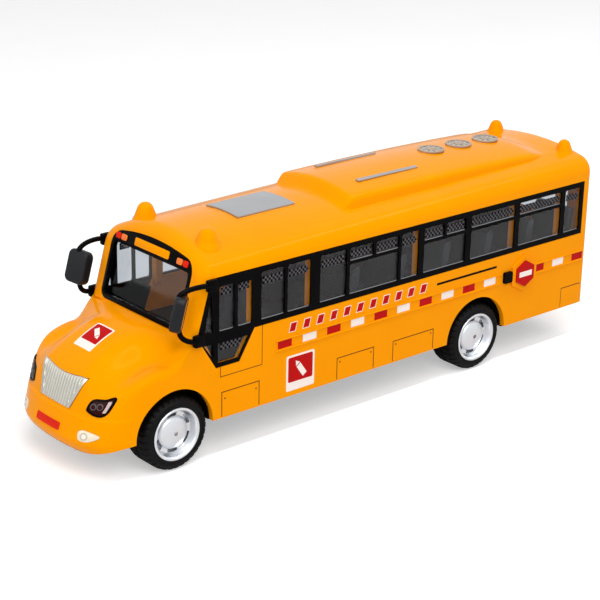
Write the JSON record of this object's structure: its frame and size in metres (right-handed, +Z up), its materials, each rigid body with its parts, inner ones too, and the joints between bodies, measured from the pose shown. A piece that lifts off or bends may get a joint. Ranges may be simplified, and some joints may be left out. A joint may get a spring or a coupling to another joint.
{
  "type": "toy bus",
  "caption": "Toy school bus with a bonnet: moulded shell, glazed window band, mirrors, seats and wheels turned through a geared friction flywheel.",
  "frame": {"origin": "on the ground, under the middle of the bus's length and width", "axes": "+X towards the nose, +Y towards the driver's (left) side, +Z up"},
  "size_m": [0.2491, 0.071, 0.0858],
  "materials": {
    "yellow_shell": "gloss moulded",
    "black_trim": "satin moulded",
    "black_base": "fine texture",
    "grey_inside": "satin moulded",
    "clear_glazing": "clear polished sheet",
    "silver_plate": "vacuum plated",
    "wheel_plate": "vacuum plated",
    "dark_lens": "polished tinted lens",
    "pale_lens": "polished lens",
    "red_trim": "gloss",
    "mirror_face": "polished",
    "steel": "drawn and plated",
    "tyre": "soft moulded",
    "gear_plastic": "moulded nylon",
    "flywheel_metal": "turned"
  },
  "bodies": {
    "bus_body": {"body_shell": "yellow_shell", "chassis": "black_base", "seat_tub": "grey_inside", "dashboard": "black_base", "steering_wheel": "grey_inside", "windscreen_frame": "black_trim", "windscreen": "clear_glazing", "left_window_frame": "black_trim", "left_glazing": "clear_glazing", "right_window_frame": "black_trim", "right_glazing": "clear_glazing", "rear_window_frame": "black_trim", "rear_glazing": "clear_glazing", "grille": "silver_plate", "left_headlamp": "dark_lens", "right_headlamp": "dark_lens", "left_fog_lamp": "pale_lens", "right_fog_lamp": "pale_lens", "number_plate": "red_trim", "roof_hatch": "silver_plate", "roof_fans": "silver_plate", "roof_strips": "silver_plate", "stop_sign": "red_trim", "stop_sign_hinge": "black_trim", "left_tail_lamps": "red_trim", "right_tail_lamps": "red_trim", "left_mirror_arm": "black_trim", "right_mirror_arm": "black_trim", "left_mirror_head": "black_trim", "right_mirror_head": "black_trim", "left_mirror_glass": "mirror_face", "right_mirror_glass": "mirror_face", "gearbox_left": "gear_plastic", "gearbox_right": "gear_plastic", "chassis_screws": "steel", "gearbox_screws": "steel"},
    "front_wheelset": {"front_axle": "steel", "front_left_hub": "wheel_plate", "front_right_hub": "wheel_plate", "front_left_tyre": "tyre", "front_right_tyre": "tyre"},
    "rear_wheelset": {"rear_axle": "steel", "rear_left_hub": "wheel_plate", "rear_right_hub": "wheel_plate", "rear_left_tyre": "tyre", "rear_right_tyre": "tyre", "axle_gear": "gear_plastic"},
    "idler_set": {"idler_gear": "gear_plastic", "idler_shaft": "steel"},
    "flywheel_set": {"flywheel": "flywheel_metal", "flywheel_pinion": "gear_plastic", "flywheel_shaft": "steel"}
  },
  "joints": [
    {"name": "front_axle_spin", "type": "hinge", "parent": "bus_body", "child": "front_wheelset", "pos_m": [0.09, 0, 0.0138], "axis": [0, 1, 0], "continuous": true},
    {"name": "rear_axle_spin", "type": "hinge", "parent": "bus_body", "child": "rear_wheelset", "pos_m": [-0.06, 0, 0.0138], "axis": [0, 1, 0], "continuous": true},
    {"name": "idler_spin", "type": "hinge", "parent": "bus_body", "child": "idler_set", "pos_m": [-0.04928, 0, 0.01627], "axis": [0, 1, 0], "continuous": true},
    {"name": "flywheel_spin", "type": "hinge", "parent": "bus_body", "child": "flywheel_set", "pos_m": [-0.03882, 0, 0.01967], "axis": [0, 1, 0], "continuous": true}
  ],
  "couplings": [
    {"joint": "idler_spin", "follows": "rear_axle_spin", "ratio": -2.6667},
    {"joint": "flywheel_spin", "follows": "rear_axle_spin", "ratio": 7.1111}
  ]
}
